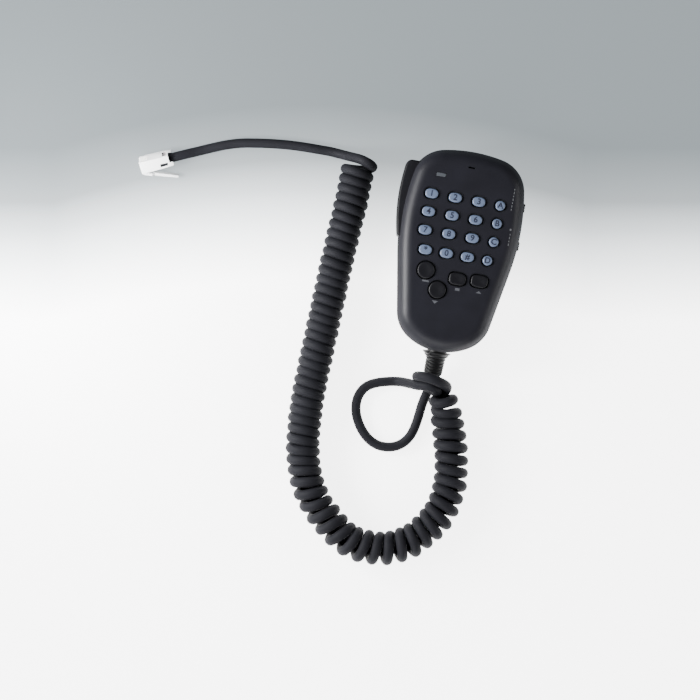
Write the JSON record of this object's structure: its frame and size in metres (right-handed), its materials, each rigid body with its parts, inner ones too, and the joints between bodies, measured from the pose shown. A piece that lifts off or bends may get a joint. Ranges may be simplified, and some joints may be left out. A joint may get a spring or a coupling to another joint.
{
  "type": "hand microphone",
  "caption": "Keypad hand microphone with a side push-to-talk lever, slide switches, hanger button, ribbed strain relief, curly cord and clear modular plug.",
  "frame": {"origin": "centre of the hanger button's flat face, on the surface that the microphone lies on", "axes": "+Z out of the keypad face, +Y towards the head, +X to the right as the keypad is read"},
  "size_m": [0.2055, 0.2221, 0.031],
  "materials": {
    "body_plastic": "fine-grained charcoal moulding",
    "key_plastic": "satin pale lavender grey, backlit key",
    "function_key_plastic": "gloss black",
    "black_plastic": "satin black",
    "white_plastic": "natural white moulding",
    "black_rubber": "matt black",
    "cord_jacket": "matt dark grey cord jacket",
    "circuit_board": "green solder mask",
    "aluminium": "drawn can",
    "steel": "plated",
    "black_screw": "black zinc",
    "clear_plastic": "clear moulded plastic",
    "gold_contacts": "gold-plated"
  },
  "bodies": {
    "body": {"front_cover": "body_plastic", "rear_cover": "body_plastic", "ptt_pin": "steel", "ptt_switch": "black_plastic", "lamp_switch": "white_plastic", "lock_switch": "white_plastic", "circuit_board": "circuit_board", "keypad_mat": "black_rubber", "encoder_chip": "black_plastic", "cord_header": "white_plastic", "mic_capsule": "aluminium", "mic_boot": "black_rubber", "indicator_lens": "clear_plastic", "indicator_led": "white_plastic", "inner_cable": "cord_jacket", "cable_clamp": "steel", "clamp_screw_left": "steel", "clamp_screw_right": "steel", "hanger_button": "steel", "hanger_washer": "steel", "hanger_screw": "steel", "cover_screw_1": "black_screw", "cover_screw_2": "black_screw", "cover_screw_3": "black_screw", "cover_screw_4": "black_screw", "strain_relief": "black_rubber", "cord_lead_mic": "cord_jacket", "curly_cord": "cord_jacket", "cord_lead_plug": "cord_jacket", "plug_housing": "clear_plastic", "plug_contacts": "gold_contacts"},
    "key_1": {"key_1": "key_plastic"},
    "key_2": {"key_2": "key_plastic"},
    "key_3": {"key_3": "key_plastic"},
    "key_a": {"key_a": "key_plastic"},
    "key_4": {"key_4": "key_plastic"},
    "key_5": {"key_5": "key_plastic"},
    "key_6": {"key_6": "key_plastic"},
    "key_b": {"key_b": "key_plastic"},
    "key_7": {"key_7": "key_plastic"},
    "key_8": {"key_8": "key_plastic"},
    "key_9": {"key_9": "key_plastic"},
    "key_c": {"key_c": "key_plastic"},
    "key_star": {"key_star": "key_plastic"},
    "key_0": {"key_0": "key_plastic"},
    "key_hash": {"key_hash": "key_plastic"},
    "key_d": {"key_d": "key_plastic"},
    "key_f1": {"key_f1": "function_key_plastic"},
    "key_f2": {"key_f2": "function_key_plastic"},
    "key_f3": {"key_f3": "function_key_plastic"},
    "key_f4": {"key_f4": "function_key_plastic"},
    "ptt_lever": {"ptt_lever": "black_plastic"},
    "ptt_plunger": {"ptt_plunger": "white_plastic"},
    "lamp_knob": {"lamp_knob": "black_plastic"},
    "lock_knob": {"lock_knob": "black_plastic"},
    "plug_latch": {"plug_latch": "clear_plastic"}
  },
  "joints": [
    {"name": "key_1_press", "type": "slide", "parent": "body", "child": "key_1", "axis": [0, 0, -1], "range_m": [0, 0.0008], "stiffness_N_per_m": 800},
    {"name": "key_2_press", "type": "slide", "parent": "body", "child": "key_2", "axis": [0, 0, -1], "range_m": [0, 0.0008], "stiffness_N_per_m": 800},
    {"name": "key_3_press", "type": "slide", "parent": "body", "child": "key_3", "axis": [0, 0, -1], "range_m": [0, 0.0008], "stiffness_N_per_m": 800},
    {"name": "key_a_press", "type": "slide", "parent": "body", "child": "key_a", "axis": [0, 0, -1], "range_m": [0, 0.0008], "stiffness_N_per_m": 800},
    {"name": "key_4_press", "type": "slide", "parent": "body", "child": "key_4", "axis": [0, 0, -1], "range_m": [0, 0.0008], "stiffness_N_per_m": 800},
    {"name": "key_5_press", "type": "slide", "parent": "body", "child": "key_5", "axis": [0, 0, -1], "range_m": [0, 0.0008], "stiffness_N_per_m": 800},
    {"name": "key_6_press", "type": "slide", "parent": "body", "child": "key_6", "axis": [0, 0, -1], "range_m": [0, 0.0008], "stiffness_N_per_m": 800},
    {"name": "key_b_press", "type": "slide", "parent": "body", "child": "key_b", "axis": [0, 0, -1], "range_m": [0, 0.0008], "stiffness_N_per_m": 800},
    {"name": "key_7_press", "type": "slide", "parent": "body", "child": "key_7", "axis": [0, 0, -1], "range_m": [0, 0.0008], "stiffness_N_per_m": 800},
    {"name": "key_8_press", "type": "slide", "parent": "body", "child": "key_8", "axis": [0, 0, -1], "range_m": [0, 0.0008], "stiffness_N_per_m": 800},
    {"name": "key_9_press", "type": "slide", "parent": "body", "child": "key_9", "axis": [0, 0, -1], "range_m": [0, 0.0008], "stiffness_N_per_m": 800},
    {"name": "key_c_press", "type": "slide", "parent": "body", "child": "key_c", "axis": [0, 0, -1], "range_m": [0, 0.0008], "stiffness_N_per_m": 800},
    {"name": "key_star_press", "type": "slide", "parent": "body", "child": "key_star", "axis": [0, 0, -1], "range_m": [0, 0.0008], "stiffness_N_per_m": 800},
    {"name": "key_0_press", "type": "slide", "parent": "body", "child": "key_0", "axis": [0, 0, -1], "range_m": [0, 0.0008], "stiffness_N_per_m": 800},
    {"name": "key_hash_press", "type": "slide", "parent": "body", "child": "key_hash", "axis": [0, 0, -1], "range_m": [0, 0.0008], "stiffness_N_per_m": 800},
    {"name": "key_d_press", "type": "slide", "parent": "body", "child": "key_d", "axis": [0, 0, -1], "range_m": [0, 0.0008], "stiffness_N_per_m": 800},
    {"name": "key_f1_press", "type": "slide", "parent": "body", "child": "key_f1", "axis": [0, 0, -1], "range_m": [0, 0.0008], "stiffness_N_per_m": 800},
    {"name": "key_f2_press", "type": "slide", "parent": "body", "child": "key_f2", "axis": [0, 0, -1], "range_m": [0, 0.0008], "stiffness_N_per_m": 800},
    {"name": "key_f3_press", "type": "slide", "parent": "body", "child": "key_f3", "axis": [0, 0, -1], "range_m": [0, 0.0008], "stiffness_N_per_m": 800},
    {"name": "key_f4_press", "type": "slide", "parent": "body", "child": "key_f4", "axis": [0, 0, -1], "range_m": [0, 0.0008], "stiffness_N_per_m": 800},
    {"name": "ptt_press", "type": "hinge", "parent": "body", "child": "ptt_lever", "pos_m": [-0.026, 0.0015, 0.018], "axis": [0, 0, -1], "range_deg": [0, 3], "stiffness_Nm_per_rad": 1.2},
    {"name": "ptt_plunger_travel", "type": "slide", "parent": "body", "child": "ptt_plunger", "axis": [1, 0, 0], "range_m": [0, 0.0012]},
    {"name": "lamp_slide", "type": "slide", "parent": "body", "child": "lamp_knob", "axis": [0, 1, 0], "range_m": [0, 0.0025]},
    {"name": "lock_slide", "type": "slide", "parent": "body", "child": "lock_knob", "axis": [0, 1, 0], "range_m": [0, 0.0025]},
    {"name": "plug_latch_press", "type": "hinge", "parent": "body", "child": "plug_latch", "pos_m": [-0.16861, 0.00854, 0.0048], "axis": [0.1962, -0.4265, 0.8829], "range_deg": [0, 15], "stiffness_Nm_per_rad": 0.08}
  ],
  "couplings": [
    {"joint": "ptt_plunger_travel", "follows": "ptt_press", "m_per_rad": 0.0225}
  ]
}
